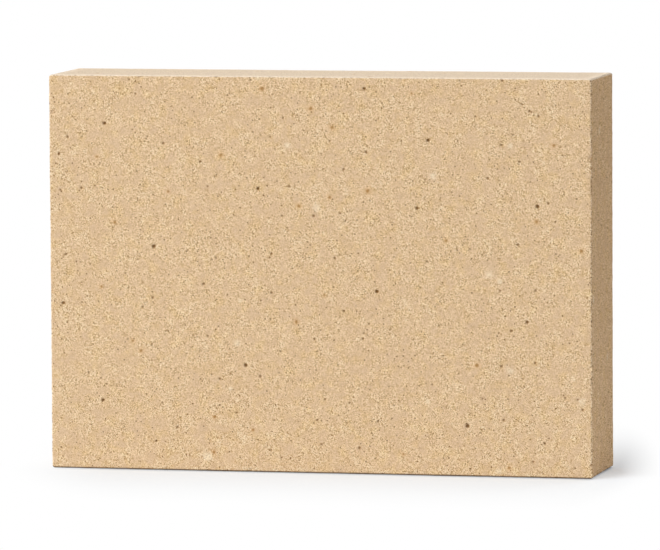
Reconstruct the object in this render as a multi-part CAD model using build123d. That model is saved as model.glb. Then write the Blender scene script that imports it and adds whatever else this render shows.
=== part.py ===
from build123d import *
import os

# Stove firebrick
# One slab of fireclay with crushed grog, pressed in a steel mould box and fired.
# It stands on one of its long edges, as it does against the wall of a firebox.
# X runs along the slab, Y through its thickness and Z up.
# The origin is the middle of the face it stands on. Sizes are in millimetres.

# The slab, a split brick of 6 1/4 by 4 1/2 by 1 1/4 inches
SLAB_LENGTH = 159.0
SLAB_HEIGHT = 114.0
SLAB_THICKNESS = 32.0

# The mould box is rounded inside its four corners, and the clay takes that shape
MOULD_CORNER_RADIUS = 0.8

# The arrises round both broad faces, where the plungers met the mould box
ARRIS_RADIUS = 0.4


def pressed_slab():
    """The mould box's outline, drawn on the plane of the cold face and filled with clay towards -Y."""
    cold_face_plane = Plane.XZ.offset(-SLAB_THICKNESS / 2)
    with BuildPart() as slab:
        with BuildSketch(cold_face_plane):
            with Locations((0, SLAB_HEIGHT / 2)):
                RectangleRounded(SLAB_LENGTH, SLAB_HEIGHT, MOULD_CORNER_RADIUS)
        extrude(amount=SLAB_THICKNESS)
        broad_faces = slab.faces().filter_by(Axis.Y).sort_by(Axis.Y)
        rims = broad_faces.first.edges() + broad_faces.last.edges()
        fillet(rims, radius=ARRIS_RADIUS)
    return slab.part


os.makedirs("parts", exist_ok=True)
firebrick = pressed_slab()
export_step(firebrick, "parts/firebrick.step")
print("firebrick", firebrick.bounding_box().size, round(firebrick.volume), "mm3")
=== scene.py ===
# %% [markdown]
# # A stove firebrick
# This brick lines the wall of a wood stove. It is one slab of fireclay and crushed grog, pressed in a
# steel mould box and fired, so it has no separate parts: all its interest is in a sandy, pale skin, its
# small pores and its worn edges.
#
# The slab's size and place come from the imported CAD model. We load that first, and keep its box.

# %% Load the imported slab
import math

import bmesh
import bpy
import numpy as np
from mathutils import Matrix, Vector, noise


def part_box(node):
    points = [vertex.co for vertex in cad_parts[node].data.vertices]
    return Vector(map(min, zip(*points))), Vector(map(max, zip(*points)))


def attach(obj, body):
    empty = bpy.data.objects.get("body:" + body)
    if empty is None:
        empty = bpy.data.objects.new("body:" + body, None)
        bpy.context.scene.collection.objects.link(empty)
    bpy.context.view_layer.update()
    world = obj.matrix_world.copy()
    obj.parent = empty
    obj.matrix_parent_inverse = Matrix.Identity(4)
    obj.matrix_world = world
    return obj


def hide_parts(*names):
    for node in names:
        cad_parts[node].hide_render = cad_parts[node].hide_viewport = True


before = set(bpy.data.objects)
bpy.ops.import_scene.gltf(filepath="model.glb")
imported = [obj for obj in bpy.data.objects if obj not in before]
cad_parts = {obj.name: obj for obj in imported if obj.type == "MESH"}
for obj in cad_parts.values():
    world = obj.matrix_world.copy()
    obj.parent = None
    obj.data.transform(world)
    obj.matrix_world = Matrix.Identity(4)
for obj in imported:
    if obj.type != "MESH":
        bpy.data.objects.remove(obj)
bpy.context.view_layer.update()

MM = 0.001

slab_low, slab_high = (np.array(corner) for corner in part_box("firebrick"))
slab_size = slab_high - slab_low
slab_centre = (slab_low + slab_high) / 2
print("slab in mm", (slab_size / MM).round(2))

# %% [markdown]
# ## The camera
# The picture was taken from a little above the brick and from its right, with a long lens: the long edges
# stay almost parallel. A camera could be placed by eye. We place it by what a photographer would note down:
# where it aims, how far round and how high it stands, how far away it is, and the lens. No single camera
# gives every edge of the picture, so these numbers share the error out: no edge is more than about three
# pixels off.

# %% Camera
PICTURE_WIDTH = 660
PICTURE_HEIGHT = 550
SENSOR_WIDTH = 36.0
LENS = 382.0
CAMERA_AZIMUTH = math.radians(13.05)
CAMERA_ELEVATION = math.radians(5.08)
CAMERA_ROLL = math.radians(-0.32)
CAMERA_DISTANCE = 2.0
AIM_FROM_MIDDLE = 0.0033
AIM_HEIGHT = 0.0573
NEAREST_SEEN = 0.01

hot_face_y = slab_low[1]
aim = Vector((slab_centre[0] + AIM_FROM_MIDDLE, hot_face_y, AIM_HEIGHT))
forward = Vector((
    -math.sin(CAMERA_AZIMUTH) * math.cos(CAMERA_ELEVATION),
    math.cos(CAMERA_AZIMUTH) * math.cos(CAMERA_ELEVATION),
    -math.sin(CAMERA_ELEVATION),
))
level_right = forward.cross(Vector((0, 0, 1))).normalized()
right = Matrix.Rotation(-CAMERA_ROLL, 3, forward) @ level_right
up = right.cross(forward)
camera_place = aim - forward * CAMERA_DISTANCE

camera_data = bpy.data.cameras.new("studio_camera")
camera_data.sensor_width = SENSOR_WIDTH
camera_data.lens = LENS
camera_data.clip_start = NEAREST_SEEN
camera = bpy.data.objects.new("studio_camera", camera_data)
turn = Matrix((right, up, -forward)).transposed()
camera.matrix_world = Matrix.Translation(camera_place) @ turn.to_4x4()
bpy.context.scene.collection.objects.link(camera)
bpy.context.scene.camera = camera
print("camera at", tuple(round(value, 3) for value in camera_place))

# %% [markdown]
# To put a pore where the picture shows it, we need the way from a pixel to the brick. A ray from the camera
# through that pixel meets the plane of the hot face in one point. The same sum turned round tells us where
# a corner of the slab lands in the picture, which is a good test of the camera.

# %% From pixels to the brick and back
focal_pixels = LENS / SENSOR_WIDTH * PICTURE_WIDTH


def on_hot_face(across, down):
    """The point of the hot face that a pixel of the picture shows."""
    ray = (
        forward
        + right * ((across - PICTURE_WIDTH / 2) / focal_pixels)
        - up * ((down - PICTURE_HEIGHT / 2) / focal_pixels)
    )
    return camera_place + ray * ((hot_face_y - camera_place.y) / ray.y)


def in_picture(point):
    """The pixel where a point of the slab lands."""
    offset = Vector(point) - camera_place
    scale = focal_pixels / offset.dot(forward)
    return (
        round(PICTURE_WIDTH / 2 + offset.dot(right) * scale, 1),
        round(PICTURE_HEIGHT / 2 - offset.dot(up) * scale, 1),
    )


middle = on_hot_face(PICTURE_WIDTH / 2, PICTURE_HEIGHT / 2)
next_pixel = on_hot_face(PICTURE_WIDTH / 2 + 1, PICTURE_HEIGHT / 2)
print("upper left corner of the hot face", in_picture((slab_low[0], slab_low[1], slab_high[2])))
print("lower right corner of the hot face", in_picture((slab_high[0], slab_low[1], slab_low[2])))
print("one pixel is", round((next_pixel - middle).length / MM, 3), "mm")

# %% [markdown]
# ## The slab's mesh
# A cube with bevelled edges would have nothing to shape between its corners. To press relief, pores and
# crumbled edges into the slab we need vertices all over it. We lay a lattice on the six faces, with fine
# steps near the edges, where the wear is, and steps of about a millimetre elsewhere.

# %% Lattice lines
EDGE_STEPS = np.array([0.13, 0.15, 0.18, 0.22, 0.3, 0.4, 0.55, 0.75]) * MM
MIDDLE_STEP = 1.0 * MM


def lattice_line(length):
    """Places along one side of the slab, close together near both ends."""
    near_edge = np.concatenate(([0.0], np.cumsum(EDGE_STEPS)))
    middle = length - 2 * near_edge[-1]
    count = round(middle / MIDDLE_STEP)
    inner = near_edge[-1] + np.arange(1, count) * middle / count
    return np.concatenate((near_edge, inner, length - near_edge[::-1]))


lattice = [lattice_line(length) for length in slab_size]
print("lattice lines along x, y and z", [len(line) for line in lattice])

# %% [markdown]
# The real slab is one lump, so its skin has to be one closed surface. Six separate sheets would leave a
# seam along every edge, which opens when the relief moves the points. Neighbouring faces share the lattice
# lines along their common edge, so we number each lattice point by its three line numbers and merge the
# points with the same numbers.

# %% The skin of the box
AROUND_ONE_CELL = ((0, 0), (1, 0), (1, 1), (0, 1))


def face_cells(axis, last):
    """The four-cornered cells of one face. Each corner is a triple of line numbers."""
    first_across, second_across = (axis + 1) % 3, (axis + 2) % 3
    i, j = np.meshgrid(
        np.arange(len(lattice[first_across]) - 1),
        np.arange(len(lattice[second_across]) - 1),
        indexing="ij",
    )
    cells = np.zeros((i.size, 4, 3), int)
    for corner, (step_i, step_j) in enumerate(AROUND_ONE_CELL):
        cells[:, corner, axis] = len(lattice[axis]) - 1 if last else 0
        cells[:, corner, first_across] = i.ravel() + step_i
        cells[:, corner, second_across] = j.ravel() + step_j
    return cells if last else cells[:, ::-1]


all_cells = np.concatenate([face_cells(axis, last) for axis in range(3) for last in (False, True)])
triples, cell_corners = np.unique(all_cells.reshape(-1, 3), axis=0, return_inverse=True)
cell_corners = cell_corners.reshape(-1, 4)
box_points = np.stack([lattice[axis][triples[:, axis]] for axis in range(3)], axis=1) - slab_size / 2
print("lattice points", len(box_points), "cells", len(cell_corners))

# %% [markdown]
# The real slab has no sharp edges. Its mould box is rounded inside its four corners, and the edges round
# the two broad faces, which a mason calls arrises, are eased where the plungers left the box. We round the
# box by arithmetic: a point near a corner is pulled in until it lies on the arc. A bevel would do it too,
# but it would spoil our even lattice.

# %% Round the corners and the arrises
MOULD_CORNER_RADIUS = 0.8 * MM
ARRIS_RADIUS = 0.4 * MM
ALMOST_NOTHING = 1e-9


def round_slab(points):
    """Moves points of the plain box, centred on the origin, onto the slab with rounded edges."""
    half = slab_size / 2
    outline = points[:, [0, 2]]
    corner_centre = half[[0, 2]] - MOULD_CORNER_RADIUS
    skeleton = np.clip(outline, -corner_centre, corner_centre)
    spoke = outline - skeleton
    spoke_length = np.linalg.norm(spoke, axis=1)
    direction = spoke / np.maximum(spoke_length, ALMOST_NOTHING)[:, None]
    reach = np.abs(spoke).max(axis=1)

    # the section through an arris: how far past the arc's centre, outwards and through the thickness
    outwards = np.maximum(reach - (MOULD_CORNER_RADIUS - ARRIS_RADIUS), 0)
    thickness = np.maximum(np.abs(points[:, 1]) - (half[1] - ARRIS_RADIUS), 0)
    arc = np.maximum(np.hypot(outwards, thickness), ALMOST_NOTHING)
    on_arc = (outwards > 0) & (thickness > 0)
    shrink = np.where(on_arc, ARRIS_RADIUS / arc, 1.0)

    new_reach = np.where(outwards > 0, MOULD_CORNER_RADIUS - ARRIS_RADIUS + outwards * shrink, reach)
    new_outline = skeleton + direction * new_reach[:, None]
    new_y = np.where(
        thickness > 0,
        np.sign(points[:, 1]) * (half[1] - ARRIS_RADIUS + thickness * shrink),
        points[:, 1],
    )
    return np.stack([new_outline[:, 0], new_y, new_outline[:, 1]], axis=1)


skin_points = round_slab(box_points) + slab_centre
print("rounded skin in mm", (np.ptp(skin_points, axis=0) / MM).round(2))

# %% [markdown]
# ## Where the marks are
# Gas and burnt-out straw leave round pores in a fired slab. Specks of iron in the clay fire to rusty grains
# with a soft halo, and bits of pure grog stay cream white. They could all be strewn at random, but a pore
# that catches the eye is how one brick is told from the next, so the hot face has them where the picture
# does.
#
# The arrises have marks too: chips, and small dark notches where a grain has fallen out. Their pixels lie
# on the brick's edge or just outside it, and later we pull those outside back onto the edge.
#
# The pores, the grains and the chips were read off enlarged parts of the picture. The two rows of notches
# were not. A program listed the darkest spots along those two edges, and the numbers here were taken from its
# list. That is quicker, but a list chosen by hand would be the better lesson.

# %% Marks of the hot face, by their pixels in the picture
LARGE_PORES = [
    (103, 400), (428, 140.5), (467.5, 426), (417, 208.3), (153.7, 246.4), (63.2, 302.8), (376.8, 291.5),
    (104.5, 123.3), (258, 188.5), (364.2, 88.8), (527.2, 322.2), (537.5, 206.6), (245.7, 365.2),
]
MIDDLE_PORES = [
    (67.5, 136.8), (59, 153.7), (81.5, 187.8), (163, 143.3), (200.3, 161.5), (135.5, 93.5),
    (203.7, 283.8), (152.7, 297.5), (207.5, 335.8), (65.8, 254.2), (289.2, 186.5), (366.2, 152.2),
    (343.7, 169.2), (313.7, 216), (334.8, 258), (271.5, 292.7), (271.5, 253.5), (314.5, 338.8),
    (362.8, 338.7), (344.2, 311.2), (548.3, 203.6), (518, 244.7), (535.7, 290.5), (511.3, 331),
    (529.5, 111.2), (538.5, 116.2), (502.3, 80.8), (501.3, 145), (519.7, 161.7), (487.7, 178.3),
    (535.3, 363), (501.5, 366.6), (582.8, 410), (503.8, 420.2), (544.8, 443.7), (533.3, 461.8),
    (349.8, 402.7), (260.5, 376.2), (359.5, 447.7), (321.5, 444.3), (378, 421.2), (219.8, 378.8),
    (156, 441), (177.5, 427.2),
]
SMALL_PORES = [
    (250.5, 80), (129, 79.4), (67.5, 171), (60.5, 189.8), (147.3, 136.2), (207.8, 186.2), (142.7, 306.8),
    (82, 302.2), (216, 257.8), (283, 117.8), (340, 213.3), (282, 215.8), (401.3, 141), (329.5, 140.7),
    (249, 256.2), (270.7, 319), (363.8, 333.2), (369, 323.7), (345.5, 220.7), (333.5, 287.2),
    (280.3, 351.2), (427, 261.5), (420.3, 287.5), (555.5, 221.8), (500.3, 290.8), (498.7, 333),
    (513, 135), (475.5, 116.3), (459.7, 80.3), (522, 104.3), (432.2, 384.3), (482.5, 398.7), (565.2, 398),
    (577.8, 399.8), (281.8, 457.5), (325, 399.3), (317.3, 420), (274.3, 420.3), (211.7, 374.5),
    (162.5, 402.7), (236.7, 412.8), (61.3, 447.2), (151.8, 345.2), (88.8, 372.2), (575.5, 468.3),
    (470.7, 469), (270.2, 136.8),
]
RUST_GRAINS = [
    (168, 191.5), (221, 154.8), (298.7, 206), (367.5, 191), (329.7, 197.6), (261.8, 88.8), (411.7, 93.6),
    (214.7, 416.6), (132.7, 340.8), (140.8, 350.8), (310.7, 108.6), (332, 127.6), (296.5, 321.8),
    (114.8, 222), (96.7, 156.7), (213.8, 452), (253, 429.8), (403.5, 454.3), (446.3, 240.7),
    (581.3, 251.2), (509, 468), (101.3, 286.7), (324, 295.2), (553.7, 145.8), (536.7, 221.7),
    (476.7, 365.3),
]
CREAM_GRAINS = [
    (509.8, 146.2), (315.8, 207.2), (286.7, 145.8), (240.3, 300.8), (236.7, 343), (257.5, 78),
    (488.7, 274.6), (499.7, 281.7), (499, 471), (510, 370.8), (581.7, 402.5), (427.5, 402),
    (206.7, 456.8), (230.5, 388.3), (209, 457), (433, 176),
]
ARRIS_CHIPS = [
    (590.5, 158), (590.5, 369), (52.3, 112.7), (52, 289.5), (52, 440), (140, 78), (402, 78.5), (250, 471),
]
NOTCHES_DOWN_THE_RIGHT = (
    96, 112, 123, 134, 140, 169, 178, 187, 191, 241, 281, 291, 306, 326, 380, 395, 412, 422, 440, 465,
)
NOTCHES_ALONG_THE_TOP = (63, 75, 92, 169, 217, 269, 312, 352, 442, 490, 535)
PAST_THE_RIGHT = 592
PAST_THE_TOP = 74
ARRIS_NOTCHES = [(PAST_THE_RIGHT, down) for down in NOTCHES_DOWN_THE_RIGHT]
ARRIS_NOTCHES += [(across, PAST_THE_TOP) for across in NOTCHES_ALONG_THE_TOP]
print("pores", len(LARGE_PORES), len(MIDDLE_PORES), len(SMALL_PORES), "notches", len(ARRIS_NOTCHES))
print("grains", len(RUST_GRAINS), len(CREAM_GRAINS), "chips", len(ARRIS_CHIPS))

# %% [markdown]
# The picture doesn't show the back, the left end or the foot, and shows too little of the others to place a
# mark. They get pores and grains of the same sizes, just as many to the area, at random places. A random
# generator with a fixed seed gives the same places every time. Each mark is also a little larger or smaller
# than its kind. The other arrises get no notches or chips of their own, only the wear that comes later.

# %% One kind of mark on every face
KEEP_OFF_THE_EDGE = 1.5 * MM
MARK_SEED = 71
random_marks = np.random.default_rng(MARK_SEED)


def marks_of_a_kind(pixels, radius, spread):
    """Centres and radii of one kind of mark: the hot face's by their pixels, the others at random."""
    centres = [np.array(on_hot_face(across, down)) for across, down in pixels]
    hot_face_area = slab_size[0] * slab_size[2]
    for axis in range(3):
        for side in (slab_low, slab_high):
            if axis == 1 and side is slab_low:
                continue
            face_area = np.prod(np.delete(slab_size, axis))
            for _ in range(round(len(pixels) * face_area / hot_face_area)):
                low = slab_low + KEEP_OFF_THE_EDGE
                centre = random_marks.uniform(low, slab_high - KEEP_OFF_THE_EDGE)
                centre[axis] = side[axis]
                centres.append(centre)
    radii = radius * random_marks.uniform(1 - spread, 1 + spread, len(centres))
    return np.array(centres), radii


print("a mark at random stays", KEEP_OFF_THE_EDGE / MM, "mm off an edge, seed", MARK_SEED)

# %% [markdown]
# The pores come in about three sizes. The large ones are painted a dark brown shade and the smaller ones a
# paler one, because light gets into a shallow pit. The small dark notches along the arrises are pits too, so
# we make them, with their painted shade, with the pores. One size for all would be simpler, but the eye soon
# finds such a pattern.

# %% Pores and notches
LARGE_PORE_RADIUS = 0.53 * MM
MIDDLE_PORE_RADIUS = 0.37 * MM
SMALL_PORE_RADIUS = 0.29 * MM
NOTCH_RADIUS = 0.33 * MM
PORE_SPREAD = 0.12
LARGE_PORE_SHADE = 1.0
MIDDLE_PORE_SHADE = 0.85
SMALL_PORE_SHADE = 0.82
NOTCH_SHADE = 0.8


def on_arris(pixels):
    """The places of marks on the hot face's edges. Those that lie past an edge are pulled back onto it."""
    return np.clip([on_hot_face(across, down) for across, down in pixels], slab_low, slab_high)


notch_centres = on_arris(ARRIS_NOTCHES)
pores = [
    marks_of_a_kind(LARGE_PORES, LARGE_PORE_RADIUS, PORE_SPREAD),
    marks_of_a_kind(MIDDLE_PORES, MIDDLE_PORE_RADIUS, PORE_SPREAD),
    marks_of_a_kind(SMALL_PORES, SMALL_PORE_RADIUS, PORE_SPREAD),
    (notch_centres, np.full(len(notch_centres), NOTCH_RADIUS)),
]
pore_centres = np.concatenate([centres for centres, radii in pores])
pore_radii = np.concatenate([radii for centres, radii in pores])
pore_shades = np.concatenate([
    np.full(len(radii), shade)
    for (centres, radii), shade in zip(
        pores, (LARGE_PORE_SHADE, MIDDLE_PORE_SHADE, SMALL_PORE_SHADE, NOTCH_SHADE)
    )
])
print("pores and notches", len(pore_radii), "of which notches", len(notch_centres))

# %% [markdown]
# Chips break off where an arris is knocked. A rusty grain is small and dark, and a cream grain is a piece
# of old fired clay, two or three times as large. Grains differ more in size than pores do, so their radii
# are spread more widely. A texture could strew them, but then we couldn't say where one lies.

# %% Chips, rusty grains and cream grains
CHIP_RADIUS = 0.7 * MM
RUST_RADIUS = 0.46 * MM
CREAM_RADIUS = 1.15 * MM
CHIP_SPREAD = 0.2
RUST_SPREAD = 0.3
CREAM_SPREAD = 0.35

chip_centres = on_arris(ARRIS_CHIPS)
chip_radii = CHIP_RADIUS * random_marks.uniform(1 - CHIP_SPREAD, 1 + CHIP_SPREAD, len(chip_centres))
rust_centres, rust_radii = marks_of_a_kind(RUST_GRAINS, RUST_RADIUS, RUST_SPREAD)
cream_centres, cream_radii = marks_of_a_kind(CREAM_GRAINS, CREAM_RADIUS, CREAM_SPREAD)
print("chips", len(chip_radii), "rusty grains", len(rust_radii), "cream grains", len(cream_radii))

# %% [markdown]
# ## Finer cells where the marks are
# Most pores are smaller than a lattice cell. A finer lattice everywhere would cost millions of faces, so we
# cut only the cells near a mark in half, those close to it in half again, and those in a pore a third time.

# %% Make the mesh and cut the cells near the marks
FIRST_CUT_MARGIN = 0.75 * MM
SECOND_CUT_MARGIN = 0.28 * MM
THIRD_CUT_SHARE = 0.85


def near_marks(points, centres, reach):
    """True for the points that are within reach of a mark's centre."""
    found = np.zeros(len(points), bool)
    for centre, limit in zip(centres, reach):
        found |= ((points - centre) ** 2).sum(axis=1) < limit**2
    return found


def cut_edges_near(skin, centres, reach):
    """Halves the edges whose middle is near a mark, and fills the cells with a finer grid."""
    skin.edges.ensure_lookup_table()
    ends = np.array([[*edge.verts[0].co, *edge.verts[1].co] for edge in skin.edges])
    chosen = near_marks((ends[:, :3] + ends[:, 3:]) / 2, centres, reach)
    edges = [skin.edges[number] for number in np.flatnonzero(chosen)]
    bmesh.ops.subdivide_edges(skin, edges=edges, cuts=1, use_grid_fill=True, use_single_edge=True)


mesh = bpy.data.meshes.new("pressed_firebrick")
mesh.from_pydata(skin_points.tolist(), [], cell_corners.tolist())
skin = bmesh.new()
skin.from_mesh(mesh)
all_centres = np.concatenate((pore_centres, rust_centres, cream_centres, chip_centres))
all_radii = np.concatenate((pore_radii, rust_radii, cream_radii / 2, chip_radii))
cut_edges_near(skin, all_centres, all_radii + FIRST_CUT_MARGIN)
cut_edges_near(skin, all_centres, all_radii + SECOND_CUT_MARGIN)
cut_edges_near(skin, pore_centres, pore_radii * THIRD_CUT_SHARE)
skin.normal_update()
points = np.array([vertex.co for vertex in skin.verts])
normals = np.array([vertex.normal for vertex in skin.verts])
print("vertices", len(points), "triangles", sum(len(face.verts) - 2 for face in skin.faces))

# %% [markdown]
# ## Relief
# Pressing leaves the faces slightly uneven, and the coarse grains of grog stand out a few hundredths of a
# millimetre. All of it takes material away: the highest grains stay on the CAD model's faces, so the brick
# keeps its size.
#
# Noise from Blender's mathutils gives both as sums of smooth random waves. A displacement modifier could do
# the same, but in code we can keep the amounts in real millimetres.

# %% Uneven faces and coarse grains
FACE_WAVE = 22 * MM
FACE_DEPTH = 0.10 * MM
FACE_PATTERN = 5.0
GRAIN_WAVE = 1.9 * MM
GRAIN_DEPTH = 0.05 * MM
GRAIN_PATTERN = 11.0
NOISE_FALL, NOISE_STEP = 1.0, 2.0
PATTERN_Y, PATTERN_Z = 2.3, -1.7


def noise_at(points, wave, octaves, pattern, gain=0.5):
    """Smooth noise from 0 to 1, with waves of the given length. Each pattern number gives another noise."""
    offset = Vector((pattern, PATTERN_Y * pattern, PATTERN_Z * pattern))
    waves = np.array([
        noise.fractal(Vector(point / wave) + offset, NOISE_FALL, NOISE_STEP, octaves) for point in points
    ])
    return np.clip(0.5 + gain * waves, 0, 1)


face_relief = FACE_DEPTH * noise_at(points, FACE_WAVE, octaves=2, pattern=FACE_PATTERN)
grain_relief = GRAIN_DEPTH * noise_at(points, GRAIN_WAVE, octaves=2, pattern=GRAIN_PATTERN)
print("mean relief in mm", round((face_relief + grain_relief).mean() / MM, 3))

# %% [markdown]
# Where the slab has been handled its arrises crumble, a grain here and a grain there. A bevel would take an
# even strip off. We scale a fine noise by how near a point is to an arris, and square it, so that most of
# the arris stays whole and a few spots are bitten out.
#
# The colour will need the same measures: how near a point is to an arris, and how far it faces up or towards
# an end. It also paints a highlight on the upper side, strongest within a few millimetres of its edges.

# %% Worn arrises, and what faces up or towards an end
WEAR_WAVE = 0.9 * MM
WEAR_DEPTH = 0.30 * MM
WEAR_PATTERN = 23.0
WEAR_GAIN = 0.7
WEAR_STARTS = 0.1 * MM
WEAR_WIDTH = 0.7 * MM
TOP_HIGHLIGHT_SHARE = 0.55
TOP_HIGHLIGHT_STARTS = 0.5 * MM
TOP_HIGHLIGHT_WIDTH = 5.0 * MM
UPPER_FROM, UPPER_AT = 0.2, 0.8
END_FROM, END_AT = 0.3, 0.9


def smooth_step(value, start, end):
    """0 at start, 1 at end, and a smooth curve between them."""
    share = np.clip((value - start) / (end - start), 0, 1)
    return share * share * (3 - 2 * share)


def distance_to_arris(points):
    """How far each point of the skin is from the nearest edge of the slab."""
    gap = np.sort(np.minimum(points - slab_low, slab_high - points), axis=1)
    return gap[:, 1]


upper = smooth_step(normals[:, 2], UPPER_FROM, UPPER_AT)
end = smooth_step(np.abs(normals[:, 0]), END_FROM, END_AT)
arris = 1 - smooth_step(distance_to_arris(points), WEAR_STARTS, WEAR_WIDTH)
# painted highlight: a pale band along the upper side's edges, for the material to paint
top_edge_highlight = TOP_HIGHLIGHT_SHARE * upper * (1 - smooth_step(distance_to_arris(points), TOP_HIGHLIGHT_STARTS, TOP_HIGHLIGHT_WIDTH))
wear_noise = noise_at(points, WEAR_WAVE, octaves=3, pattern=WEAR_PATTERN, gain=WEAR_GAIN)
wear_relief = WEAR_DEPTH * arris * wear_noise**2
print("most wear at an arris in mm", round(wear_relief.max() / MM, 3))

# %% [markdown]
# A pore is a small round pit. We give it a flat floor, a steep wall and an outline that is a little off
# round. Its depth follows its radius, and the smaller kinds are shallower and get a paler painted shade. The
# same curve, from 0 at the rim to 1 at the bottom, is kept as an attribute of the mesh, so that the material
# can paint shade into the pit over its real shadow.
#
# A sphere cut out of the slab for each pore would do it too, but hundreds of such cuts are slow and leave
# thin triangles. Every kind of mark has the same three numbers: where its slope starts and where it ends,
# both in radii, and how far its outline strays from a circle.

# %% Pores and grains
PORE_OUTLINE = (1.1, 0.65, 0.16)
RUST_OUTLINE = (1.15, 0.6, 0.35)
HALO_OUTLINE = (2.9, 0.6, 0.3)
CREAM_OUTLINE = (1.3, 0.1, 0.5)
CHIP_OUTLINE = (1.2, 0.3, 0.4)
OUTLINE_WAVE = 0.5 * MM
OUTLINE_MARGIN = 1.3
PORE_DEPTH_SHARE = 0.9
CHIP_DEPTH_SHARE = 0.45
GRAIN_STANDS = 0.05 * MM


def mark_shape(centres, radii, outline, strengths=None):
    """For each point of the skin: 1 in the middle of a mark and 0 outside it, and that mark's radius."""
    slope_starts, slope_ends, strays = outline
    shape = np.zeros(len(points))
    size = np.zeros(len(points))
    if strengths is None:
        strengths = np.ones(len(radii))
    for centre, radius, strength in zip(centres, radii, strengths):
        span = np.linalg.norm(points - centre, axis=1)
        close = np.flatnonzero(span < radius * slope_starts * OUTLINE_MARGIN)
        waver = np.array([noise.noise(Vector(points[number] / OUTLINE_WAVE)) for number in close])
        from_middle = span[close] / radius * (1 + strays * waver)
        inside = strength * smooth_step(from_middle, slope_starts, slope_ends)
        shape[close] = np.maximum(shape[close], inside)
        size[close] = radius
    return shape, size


pore_shape, pore_size = mark_shape(pore_centres, pore_radii, PORE_OUTLINE, pore_shades)
rust_shape, _ = mark_shape(rust_centres, rust_radii, RUST_OUTLINE)
halo_shape, _ = mark_shape(rust_centres, rust_radii, HALO_OUTLINE)
cream_shape, _ = mark_shape(cream_centres, cream_radii, CREAM_OUTLINE)
chip_shape, chip_size = mark_shape(chip_centres, chip_radii, CHIP_OUTLINE)
pore_relief = PORE_DEPTH_SHARE * pore_size * pore_shape + CHIP_DEPTH_SHARE * chip_size * chip_shape
stands_out = GRAIN_STANDS * rust_shape
depth = np.maximum(face_relief + grain_relief - stands_out, 0) + wear_relief + pore_relief
moved = points - normals * depth[:, None]
print("deepest pore in mm", round(pore_relief.max() / MM, 2))

# %% [markdown]
# A pressed face is never quite flat, so a brick stands on the middle of its foot, and under its rim there is
# a gap that no light reaches. In the picture that gap is a thin dark line along the floor. A painted line
# alone would do from far off. We lift the rim by a sixth of a millimetre, so that part of the shadow is a
# real one, and keep an attribute for the lowest half millimetre, where the material paints a dark contact
# shadow along the foot.

# %% Lift the rim of the face that the brick stands on
FOOT_LIFT = 0.16 * MM
RIM_STARTS = 0.3 * MM
RIM_WIDTH = 3.0 * MM
RIM_HEIGHT = 1.6 * MM
FOOT_DARK_FROM = 0.30 * MM
FOOT_DARK_TO = 0.60 * MM

from_sides = np.minimum(points - slab_low, slab_high - points)[:, :2].min(axis=1)
above_floor = points[:, 2] - slab_low[2]
rim = 1 - smooth_step(from_sides, RIM_STARTS, RIM_WIDTH)
rim *= 1 - smooth_step(above_floor, 0, RIM_HEIGHT)
moved[:, 2] += FOOT_LIFT * rim
# painted shadow: the lowest half millimetre, where the material paints a dark contact line
foot = 1 - smooth_step(above_floor, FOOT_DARK_FROM, FOOT_DARK_TO)
print("foot lifted in mm", round(float((FOOT_LIFT * rim).max()) / MM, 2))

# %% [markdown]
# Now the moved points go into the mesh. The shapes of the marks go with them, one number for each vertex,
# in named attributes. The other way to tell a material where a pore is would be a painted mask, which needs
# an unwrapped mesh and blurs close up.

# %% Put the relief into the mesh
for vertex, new_place in zip(skin.verts, moved):
    vertex.co = new_place
bmesh.ops.triangulate(skin, faces=[face for face in skin.faces if len(face.verts) > 4])
skin.to_mesh(mesh)
skin.free()
mesh.shade_smooth()
for name, values in (
    ("pore", pore_shape),
    ("rust", rust_shape),
    ("halo", halo_shape),
    ("cream", cream_shape),
    # the arris attribute also holds the painted highlight band of the upper side
    ("arris", np.maximum(arris, top_edge_highlight)),
    ("upper", upper),
    ("end", end),
    ("foot", foot),
):
    attribute = mesh.attributes.new(name, "FLOAT", "POINT")
    attribute.data.foreach_set("value", values.astype(np.float32))
brick = bpy.data.objects.new("pressed_firebrick", mesh)
bpy.context.scene.collection.objects.link(brick)
print("mesh has", len(mesh.vertices), "vertices and", len(mesh.polygons), "faces")

# %% [markdown]
# ## The fireclay
# Close up, the skin is sand held in clay: cream grains, tan clay between them and brown gaps, all about a
# third of a millimetre across, with pinholes scattered among them. A painted picture could hold that, but
# it would blur close up and break at the edges of the slab. We build it from Blender's 3-D textures, which
# fill the space that the slab is cut from, so the grain runs on round every edge.

# %% An empty material, and two helpers that fill it
fireclay = bpy.data.materials.new("fireclay")
fireclay.use_nodes = True
nodes = fireclay.node_tree.nodes
links = fireclay.node_tree.links
nodes.clear()


def give(socket, value):
    """Links a socket to another node's output, or sets it to a plain value."""
    if isinstance(value, bpy.types.NodeSocket):
        links.new(value, socket)
    else:
        socket.default_value = value


def add_node(kind, settings=None, **inputs):
    """A new node with its settings and its inputs, by their names."""
    made = nodes.new(kind)
    for name, value in (settings or {}).items():
        setattr(made, name, value)
    for name, value in inputs.items():
        give(made.inputs[name.replace("_", " ")], value)
    return made


place = add_node("ShaderNodeTexCoord").outputs["Object"]
print("object space is in metres, so a texture's scale is one over its size")

# %% [markdown]
# ### Colour
# One number says how light a spot of the skin is, from 0 in the deepest gap to 1 on the palest sand, and
# a row of colours turns it into brown, tan or cream. We could mix a colour for each kind of grain by
# itself, but on fired clay the dark spots are also the warm ones, and one row of colours keeps it so.
# After that come faint tints, pinker, yellower, rusty or creamy, and painted light and shade: a pale sheen
# and highlights on the upper side, and shade on the ends, in the pits and at the foot.

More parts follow.
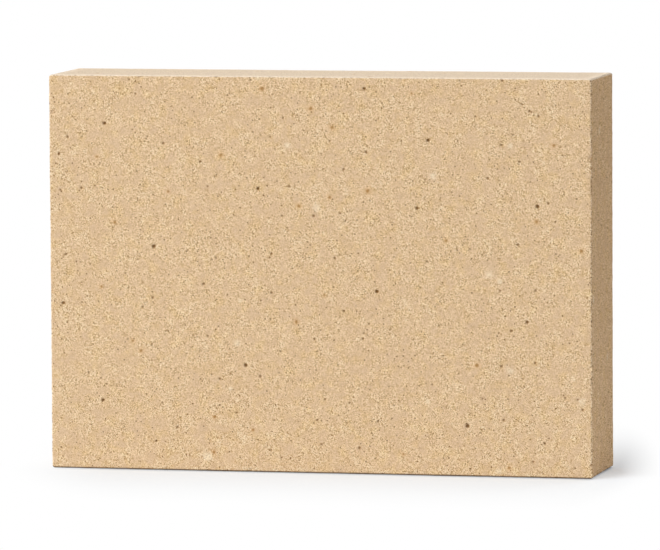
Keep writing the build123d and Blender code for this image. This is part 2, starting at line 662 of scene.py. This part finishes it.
# %% The row of colours, as linear red, green and blue
GRAIN_COLOURS = (
    (0.00, (0.181, 0.076, 0.019)),
    (0.22, (0.383, 0.221, 0.094)),
    (0.42, (0.595, 0.393, 0.213)),
    (0.55, (0.742, 0.530, 0.315)),
    (0.70, (0.897, 0.673, 0.436)),
    (1.00, (0.990, 0.860, 0.620)),
)


def painted(value, palette):
    """Turns a number into a colour, by a row of places and colours."""
    made = add_node("ShaderNodeValToRGB", Fac=value)
    stops = made.color_ramp.elements
    while len(stops) < len(palette):
        stops.new(0.5)
    for stop, (position, colour) in zip(stops, palette):
        stop.position = position
        stop.color = (*colour, 1)
    return made.outputs["Color"]


print("the sand has", len(GRAIN_COLOURS), "colours, from the gaps to the palest grains")

# %% [markdown]
# Patches, grains and dust lie on each other like layers on the real slab, and each one is a short sum of
# numbers. Blender has a node for every step of such a sum. The nodes could be laid out by hand in the
# shader editor, but written with a few helpers the sum can be read from top to bottom.

# %% Helpers for sums, ranges, values of the mesh and soft noise
NOISE_DETAIL = 2.0


def sum_of(operation, first, second):
    """A Math node: add, multiply, subtract or compare two numbers."""
    made = nodes.new("ShaderNodeMath")
    made.operation = operation
    give(made.inputs[0], first)
    give(made.inputs[1], second)
    return made.outputs[0]


def remap(value, low, high, new_low, new_high):
    """Stretches a range of values to another, and keeps what lies outside at its ends."""
    made = add_node(
        "ShaderNodeMapRange",
        Value=value, From_Min=low, From_Max=high, To_Min=new_low, To_Max=new_high,
    )
    return made.outputs["Result"]


def attribute_of(name):
    """A value that was kept on the mesh."""
    return add_node("ShaderNodeAttribute", {"attribute_name": name}).outputs["Fac"]


def noise_of(size, roughness):
    """Soft noise with patches of about this size, in metres."""
    made = add_node("ShaderNodeTexNoise", Vector=place, Scale=1 / size, Detail=NOISE_DETAIL)
    made.inputs["Roughness"].default_value = roughness
    return made.outputs["Fac"]


print("soft noise adds", NOISE_DETAIL, "finer layers of waves to the first")

# %% [markdown]
# The slab isn't equally sandy everywhere. Where fine clay came to the face against the mould it is smooth
# and a little pink, and between those patches the sand shows. One soft noise, with patches of about three
# millimetres, says how rough a spot is. It will scale the grain's contrast, so rough and smooth spots
# keep the same mean colour. Worn arrises get more contrast still, because their sand is loose.

# %% Rough and smooth patches
SMOOTH_PATCH = 3.0 * MM
SMOOTH_BLUR = 0.6
ROUGH_BELOW, SMOOTH_ABOVE = 0.36, 0.64
ROUGHEST = 1.65
SMOOTHEST = 0.45
CRUMBLES_FROM = 0.56
CRUMBLING = 2.4

smoothness = noise_of(SMOOTH_PATCH, SMOOTH_BLUR)
rough = remap(smoothness, ROUGH_BELOW, SMOOTH_ABOVE, ROUGHEST, SMOOTHEST)
# worn also holds the painted highlight band of the upper side; that band stays below CRUMBLES_FROM
worn = attribute_of("arris")
rough = sum_of("ADD", rough, remap(worn, CRUMBLES_FROM, 1.0, 0.0, CRUMBLING))
print("contrast from", SMOOTHEST, "to", ROUGHEST, "and", CRUMBLING, "more where the arris is worn")

# %% [markdown]
# Sand is grains that touch, and Blender's Voronoi texture is cells that touch. Soft noise would be less
# work, but it has no edges, and sand looks blurred without them.
#
# The cells are drawn out through the thickness of the slab, because the mix creeps that way under the
# press. On the ends that keeps grains that a camera in front of the slab can still tell apart. In the hot
# face they are turned by half a right angle and drawn a little along one diagonal, so no row of cells
# follows an arris.

# %% Cells like grains that touch
DRAWN_OUT = (1.15, 2.4, 0.92)
CELL_TURN = (0, math.radians(45), 0)

drawn = add_node(
    "ShaderNodeMapping", {"vector_type": "TEXTURE"}, Vector=place, Scale=DRAWN_OUT, Rotation=CELL_TURN
).outputs["Vector"]


def cells_of(size, where):
    """Cells of about this size, in metres, like grains that touch."""
    return add_node("ShaderNodeTexVoronoi", Vector=where, Scale=1 / size)


def random_of_cell(cells, channel):
    """A random number for each cell, even between 0 and 1."""
    return add_node("ShaderNodeSeparateColor", Color=cells.outputs["Color"]).outputs[channel]


print("the cells are drawn out by", DRAWN_OUT)

# %% [markdown]
# The number for a spot's lightness is a sum. Cells of a third of a millimetre give each grain a light
# middle and a dark rim. Finer cells, each with a random number, are the fines between them. Round specks,
# one to a cell, are the broken pieces: dark ones, light ones, and a few pinholes that are darker than all.
# A sum keeps each kind apart, where one texture for all of them could only be changed as a whole.

# %% Grains: one number from 0, the darkest gap, to 1, the lightest sand
SAND = 0.30 * MM
SAND_DOME = 0.45
SAND_MIDDLE = 0.63
FINES = 0.18 * MM
FINES_CONTRAST = 0.30
# specks: how far apart, the share of cells that have none, the largest radius in cells, and how strong
DARK_SPECKS = (0.50 * MM, 0.35, 0.30, 0.62)
LIGHT_SPECKS = (0.50 * MM, 0.45, 0.28, 0.50)
PINHOLES = (1.0 * MM, 0.40, 0.21, 0.60)
MIDDLE_SHADE = 0.512


def specks(spacing, none_below, largest, strength):
    """The given strength inside round specks of random sizes, one to a cell, and 0 elsewhere."""
    cells = cells_of(spacing, drawn)
    radius = remap(random_of_cell(cells, "Red"), none_below, 1.0, 0.0, largest)
    inside = sum_of("LESS_THAN", cells.outputs["Distance"], radius)
    return sum_of("MULTIPLY", inside, strength)


dome = sum_of("SUBTRACT", SAND_MIDDLE, cells_of(SAND, drawn).outputs["Distance"])
fine_number = random_of_cell(cells_of(FINES, drawn), "Red")
fines = remap(fine_number, 0.0, 1.0, -FINES_CONTRAST / 2, FINES_CONTRAST / 2)
uneven = sum_of("ADD", sum_of("MULTIPLY", dome, SAND_DOME), fines)
uneven = sum_of("SUBTRACT", uneven, specks(*DARK_SPECKS))
uneven = sum_of("ADD", uneven, specks(*LIGHT_SPECKS))
grain = sum_of("ADD", sum_of("MULTIPLY", uneven, rough), MIDDLE_SHADE)
grain = sum_of("SUBTRACT", grain, specks(*PINHOLES))
colour = painted(grain, GRAIN_COLOURS)
print("grain is a sum of", round(FINES / MM, 2), "to", round(PINHOLES[0] / MM, 2), "mm cells")

# %% [markdown]
# Iron and lime aren't spread evenly in the clay, so the slab fires a little pinker here and a little
# yellower there. We multiply by a tint, which keeps the grain, where mixing a colour in would veil it.

# %% Soft patches: smooth ones a little pinker, others a little yellower
PINK_TINT = (0.985, 1.004, 1.140, 1)
YELLOW_TINT = (1.008, 0.988, 0.826, 1)
YELLOW_PATCH = 4.0 * MM
YELLOW_BLUR = 0.65
TINT_FROM, TINT_AT = 0.48, 0.68
PINK_SHARE = 0.5
YELLOW_SHARE = 0.55


def mix_colours(share, first, second, how="MIX"):
    """Mixes two colours: a share of 0 is the first, 1 the second."""
    made = nodes.new("ShaderNodeMix")
    made.data_type = "RGBA"
    made.blend_type = how
    give(made.inputs[0], share)
    give(made.inputs[6], first)
    give(made.inputs[7], second)
    return made.outputs[2]


pink = remap(smoothness, TINT_FROM, TINT_AT, 0.0, PINK_SHARE)
yellow = remap(noise_of(YELLOW_PATCH, YELLOW_BLUR), TINT_FROM, TINT_AT, 0.0, YELLOW_SHARE)
colour = mix_colours(pink, colour, PINK_TINT, "MULTIPLY")
colour = mix_colours(yellow, colour, YELLOW_TINT, "MULTIPLY")
print("tints", PINK_TINT[:3], YELLOW_TINT[:3])

# %% [markdown]
# Next come the layers over the clay, some of them painted light and shade. The ends are painted a touch
# redder, a painted warm shade. A pale painted sheen lies on the upper side. Worn arrises show the cream
# inside of the slab, in crumbs; along the upper side this cream is mostly a painted highlight. Each could
# have a material of its own, but their rims are soft, so we mix each one in over the last.

# %% Painted shade on the ends, painted sheen on the upper side, worn arrises and painted highlight
END_SHADE_TINT = (1.069, 1.0, 0.93, 1)
PAINTED_SHEEN = (0.76, 0.69, 0.595, 1)
CREAM_WEAR_AND_HIGHLIGHT = (0.99, 0.85, 0.69, 1)
SHEEN_SHARE = 0.5
CRUMB = 0.5 * MM
CRUMB_FROM, CRUMB_AT = 0.35, 0.75
LEAST_OF_A_CRUMB = 0.5
CREAM_ALONG_THE_SIDES, HIGHLIGHT_ALONG_THE_TOP = 0.06, 0.95
TOP_FROM = 0.3


def share_of(value, share):
    """A value made weaker."""
    return sum_of("MULTIPLY", value, share)


upper_side = attribute_of("upper")
crumb_number = random_of_cell(cells_of(CRUMB, place), "Red")
broken = remap(crumb_number, CRUMB_FROM, CRUMB_AT, LEAST_OF_A_CRUMB, 1.0)
# along the upper side the cream is a painted highlight, on the other faces it is cream wear
cream_and_highlight_side = remap(upper_side, 0.0, TOP_FROM, CREAM_ALONG_THE_SIDES, HIGHLIGHT_ALONG_THE_TOP)
cream_wear_and_highlight = share_of(share_of(worn, cream_and_highlight_side), broken)
# painted shade: the ends are tinted warmer, as they look in shade
colour = mix_colours(attribute_of("end"), colour, END_SHADE_TINT, "MULTIPLY")
# painted sheen: the upper side is painted paler, as grazing light shows it
colour = mix_colours(share_of(upper_side, SHEEN_SHARE), colour, PAINTED_SHEEN)
colour = mix_colours(cream_wear_and_highlight, colour, CREAM_WEAR_AND_HIGHLIGHT)
# the share printed here is that of the painted sheen
print("dust takes", SHEEN_SHARE, "of the upper side's colour")

# %% [markdown]
# Last come the marks that the mesh carries: rusty grains in their halo, cream grog, the painted shade in the
# pores, and a painted contact shadow along the foot. Painting them on the hot face alone would be enough for
# the picture, but the attributes are on every face. They are mixed in this order, so a pore's painted shade
# lies over the painted sheen and rust alike.

# %% Rusty and cream grains, painted shade in the pores, and a painted shadow at the foot
RUST_HALO = (0.78, 0.46, 0.19, 1)
RUST = (0.42, 0.22, 0.075, 1)
CREAM_GROG = (0.98, 0.85, 0.64, 1)
PIT_SHADE = (0.215, 0.108, 0.030, 1)
FOOT_SHADE = (0.13, 0.072, 0.034, 1)
HALO_SHARE = 0.28
RUST_SHARE = 0.88
CREAM_SHARE = 0.62
PORE_FROM = 0.1
PORE_SHARE = 0.85
FOOT_SHARE = 0.95

cream_grain = share_of(share_of(attribute_of("cream"), CREAM_SHARE), broken)
pore = remap(attribute_of("pore"), PORE_FROM, 1.0, 0.0, PORE_SHARE)
colour = mix_colours(share_of(attribute_of("halo"), HALO_SHARE), colour, RUST_HALO)
colour = mix_colours(share_of(attribute_of("rust"), RUST_SHARE), colour, RUST)
colour = mix_colours(cream_grain, colour, CREAM_GROG)
# painted shade: pits and notches darkened beyond their own shadow
colour = mix_colours(pore, colour, PIT_SHADE)
# painted shadow: a dark contact line along the foot
colour = mix_colours(share_of(attribute_of("foot"), FOOT_SHARE), colour, FOOT_SHADE)
print("colour is made by", len(nodes), "nodes")

# %% [markdown]
# ### Relief too small for the mesh
# The mesh carries the shapes down to about a millimetre, and finer ones at the marks. The grains are a
# third of that, so their relief is bump: it only tilts the shading. Its height is the same number as the
# colour's lightness, so a brown gap is also a groove and a pinhole also a hole. It is kept to a twentieth
# of a millimetre, because more of it greys the clay instead of sharpening it.
#
# Fired clay is matt, and its gaps are the mattest part. It has almost no sheen, so the shader's specular
# level is close to nothing.

# %% Bump and the shader
BUMP_HEIGHT = 0.05 * MM
GAP, SAND_TOP = 0.4, 0.7
GAP_ROUGHNESS, SAND_ROUGHNESS = 0.95, 0.85
SPECULAR = 0.02

bump = add_node("ShaderNodeBump", Height=grain, Distance=BUMP_HEIGHT, Strength=1.0)
roughness = remap(grain, GAP, SAND_TOP, GAP_ROUGHNESS, SAND_ROUGHNESS)
surface = add_node(
    "ShaderNodeBsdfPrincipled",
    Base_Color=colour, Roughness=roughness, Normal=bump.outputs["Normal"], Specular_IOR_Level=SPECULAR,
)
add_node("ShaderNodeOutputMaterial", Surface=surface.outputs["BSDF"])
mesh.materials.append(fireclay)
print("fireclay has", len(nodes), "nodes")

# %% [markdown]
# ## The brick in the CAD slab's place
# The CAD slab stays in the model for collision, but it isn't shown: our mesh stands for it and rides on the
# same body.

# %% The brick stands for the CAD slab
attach(brick, "root")
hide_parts("firebrick")
print(brick.name, "stands for the CAD slab and rides on root")

# %% [markdown]
# ## The studio
# The brick stands in a plain white studio. An even light comes from all round. The usual way is a sky
# texture or a picture of a room, but a plain grey world shows the clay's own colour. The camera, and
# anything that mirrors or looks through, sees that world as pure white instead. So the white costs no
# light, which would wash out the clay.

# %% World
WORLD_LIGHT = 0.26
WHITE = (1, 1, 1, 1)


def mix_shaders(share, first, second):
    """Mixes two shaders: a share of 0 is the first, 1 the second."""
    made = nodes.new("ShaderNodeMixShader")
    for socket, value in zip(made.inputs, (share, first, second)):
        give(socket, value)
    return made.outputs[0]


world = bpy.data.worlds.new("studio")
bpy.context.scene.world = world
world.use_nodes = True
nodes = world.node_tree.nodes
links = world.node_tree.links
nodes.clear()
ray_kind = add_node("ShaderNodeLightPath").outputs
seen = sum_of("MAXIMUM", ray_kind["Is Camera Ray"], ray_kind["Is Glossy Ray"])
seen = sum_of("MAXIMUM", seen, ray_kind["Is Transmission Ray"])
even_light = add_node("ShaderNodeBackground", Color=WHITE, Strength=WORLD_LIGHT)
white_view = add_node("ShaderNodeBackground", Color=WHITE, Strength=1.0)
by_ray = mix_shaders(seen, even_light.outputs["Background"], white_view.outputs["Background"])
add_node("ShaderNodeOutputWorld", Surface=by_ray)
print("even light", WORLD_LIGHT)

# %% [markdown]
# Two large soft lamps do the rest, as in a small photo studio. The key lamp is in front, high on the
# left, and lights the hot face. It stands near enough for the face to be a little darker at its far end.
# The end on the right turns away from it and goes into shade. The back lamp is behind the brick and
# higher, and brightens its upper side. A sun lamp would be simpler, but it lights every spot alike and
# draws a hard shadow, where a lamp as large as a window gives a soft one.

# %% Soft lamps: power in watts, size and distance in metres, azimuth and elevation in degrees
LAMPS = {
    "key_lamp": (46.4, 1.83, 2.2, -38, 35),
    "back_lamp": (27.0, 2.0, 2.4, 165, 50),
}


def add_lamp(name, power, size, distance, azimuth, elevation):
    """A square soft lamp that looks at the middle of the brick. Azimuth 0 is in front of the hot face."""
    lamp_data = bpy.data.lights.new(name, "AREA")
    lamp_data.energy = power
    lamp_data.size = size
    lamp = bpy.data.objects.new(name, lamp_data)
    away = Vector((
        math.sin(azimuth) * math.cos(elevation),
        -math.cos(azimuth) * math.cos(elevation),
        math.sin(elevation),
    ))
    lamp.location = Vector(slab_centre) + away * distance
    lamp.rotation_euler = away.to_track_quat("Z", "Y").to_euler()
    bpy.context.scene.collection.objects.link(lamp)
    return lamp


for name, (power, size, distance, azimuth, elevation) in LAMPS.items():
    lamp = add_lamp(name, power, size, distance, math.radians(azimuth), math.radians(elevation))
    print(name, "at", tuple(round(value, 2) for value in lamp.location))

# %% [markdown]
# The brick stands on a floor, or its shadow would have nothing to fall on. A plane would do. We use a large
# disc, whose edge is equally far off on all sides.

# %% Floor
FLOOR_RADIUS = 3.0
FLOOR_CORNERS = 96

floor_mesh = bpy.data.meshes.new("studio_floor")
floor_shape = bmesh.new()
bmesh.ops.create_circle(floor_shape, cap_ends=True, radius=FLOOR_RADIUS, segments=FLOOR_CORNERS)
floor_shape.to_mesh(floor_mesh)
floor_shape.free()
floor = bpy.data.objects.new("studio_floor", floor_mesh)
bpy.context.scene.collection.objects.link(floor)
print("floor radius in metres", FLOOR_RADIUS)

# %% [markdown]
# The floor is a sheet of pale paper on a greyer table. The paper reaches about a hand's width past the
# brick and throws light back onto its lowest rows, and the grey beyond keeps that from reaching the upper
# rows. One plain white floor would be simpler, but it lights the whole end of the brick from below.

# %% Paper and table
SHEET_COLOUR = (0.82, 0.85, 0.89, 1)
TABLE_COLOUR = (0.62, 0.62, 0.62, 1)
SHEET_MIDDLE = (0.0039, 0.013, 0)
SHEET_ENDS = 0.09
SHEET_BLUR = 0.03

paint = bpy.data.materials.new("floor_white")
paint.use_nodes = True
nodes = paint.node_tree.nodes
links = paint.node_tree.links
nodes.clear()


def vector_of(operation, first, second=(0, 0, 0)):
    """A Vector Math node that makes a vector of one or two others."""
    made = add_node("ShaderNodeVectorMath", {"operation": operation})
    give(made.inputs[0], first)
    give(made.inputs[1], second)
    return made.outputs["Vector"]


def length_of(vector):
    """How long a vector is."""
    made = add_node("ShaderNodeVectorMath", {"operation": "LENGTH"})
    give(made.inputs[0], vector)
    return made.outputs["Value"]


half_foot = (slab_size[0] / 2, slab_size[1] / 2, 0)
floor_place = add_node("ShaderNodeNewGeometry").outputs["Position"]
from_middle = vector_of("SUBTRACT", floor_place, SHEET_MIDDLE)
past_foot = vector_of("SUBTRACT", vector_of("ABSOLUTE", from_middle), half_foot)
outside = length_of(vector_of("MAXIMUM", past_foot, (0, 0, 0)))
off_the_sheet = remap(outside, SHEET_ENDS - SHEET_BLUR, SHEET_ENDS + SHEET_BLUR, 0.0, 1.0)
matt = add_node("ShaderNodeBsdfDiffuse", Color=mix_colours(off_the_sheet, SHEET_COLOUR, TABLE_COLOUR))
print("the paper ends", SHEET_ENDS, "metres past the foot")

# %% [markdown]
# In the picture the floor is white all round, and only a small soft shadow is left beside the foot. We
# could wash it out with light, but the clay would burn out first. We do it in the floor's own material, and
# for camera rays alone: it turns into pure white with the distance from the foot.
#
# An even fade all round would give the wrong shadow. In the picture it is deepest past the brick's right
# end, thins out along the front, and stops at the left corner. So each of the four sides has its own
# fade, told by where it begins and how far it reaches, and two of them lean so that they run the way the
# camera looks.

# %% How far a spot of the floor is into the fade
# where the fade begins, from that side of the foot, and how far it reaches, both in metres
FADE_LEFT = (0.0193, -0.042)
FADE_RIGHT = (0.0048, 0.0152)
FADE_AHEAD = (0.0235, -0.119)
FADE_BEHIND = (0.0045, 0.132)
LEAN_AHEAD = 0.277
LEAN_BEHIND = 0.183


def fade(spot, foot_edge, side):
    """0 where a side's fade begins, measured from that edge of the foot, and 1 a whole reach further."""
    begins, reach = side
    return remap(spot, foot_edge + begins, foot_edge + begins + reach, 0.0, 1.0)


foot_left, foot_ahead = (float(value) for value in slab_low[:2])
foot_right, foot_behind = (float(value) for value in slab_high[:2])
floor_axes = add_node("ShaderNodeSeparateXYZ", Vector=floor_place)
floor_x = floor_axes.outputs["X"]
floor_y = floor_axes.outputs["Y"]
depth_ahead = sum_of("MAXIMUM", sum_of("SUBTRACT", foot_ahead, floor_y), 0.0)
depth_behind = sum_of("MAXIMUM", floor_y, 0.0)
right_x = sum_of("ADD", floor_x, sum_of("MULTIPLY", depth_behind, LEAN_BEHIND))
left_x = sum_of("SUBTRACT", right_x, sum_of("MULTIPLY", depth_ahead, LEAN_AHEAD))
fade_across = sum_of("ADD", fade(left_x, foot_left, FADE_LEFT), fade(right_x, foot_right, FADE_RIGHT))
fade_along = sum_of("ADD", fade(floor_y, foot_ahead, FADE_AHEAD), fade(floor_y, foot_behind, FADE_BEHIND))
into_fade = length_of(add_node("ShaderNodeCombineXYZ", X=fade_across, Y=fade_along).outputs["Vector"])
print("the fade leans", LEAN_AHEAD, "ahead of the foot and", LEAN_BEHIND, "behind it")

# %% [markdown]
# Now the fade's number mixes the paper with pure white. A straight mix would give the shadow an end that
# shows. We raise what is left of the paper to a power, so the shadow falls fast near the foot and slowly
# further out, as a soft shadow does on a real floor.

# %% The way into white
FLOOR_GLOW = 0.03
WHITE_FROM = -0.098
WHITE_AT = 0.85
SHADOW_FALL = 1.67

camera_ray = add_node("ShaderNodeLightPath").outputs["Is Camera Ray"]
glow = add_node("ShaderNodeEmission", Strength=sum_of("MULTIPLY", camera_ray, FLOOR_GLOW))
lifted = add_node("ShaderNodeAddShader")
give(lifted.inputs[0], matt.outputs[0])
give(lifted.inputs[1], glow.outputs[0])
pure_white = add_node("ShaderNodeEmission", Color=WHITE, Strength=1.0)
near_share = remap(into_fade, WHITE_FROM, WHITE_AT, 1.0, 0.0)
far_share = sum_of("SUBTRACT", 1.0, sum_of("POWER", near_share, SHADOW_FALL))
white_share = sum_of("MULTIPLY", far_share, camera_ray)
into_white = mix_shaders(white_share, lifted.outputs[0], pure_white.outputs[0])
add_node("ShaderNodeOutputMaterial", Surface=into_white)
floor_mesh.materials.append(paint)
print("the floor is", len(nodes), "nodes, and pure white from", WHITE_AT, "of a fade")

# %% [markdown]
# ## Finish
# Blender's Standard view shows a colour about as it was written.

# %% View
bpy.context.scene.view_settings.view_transform = "Standard"
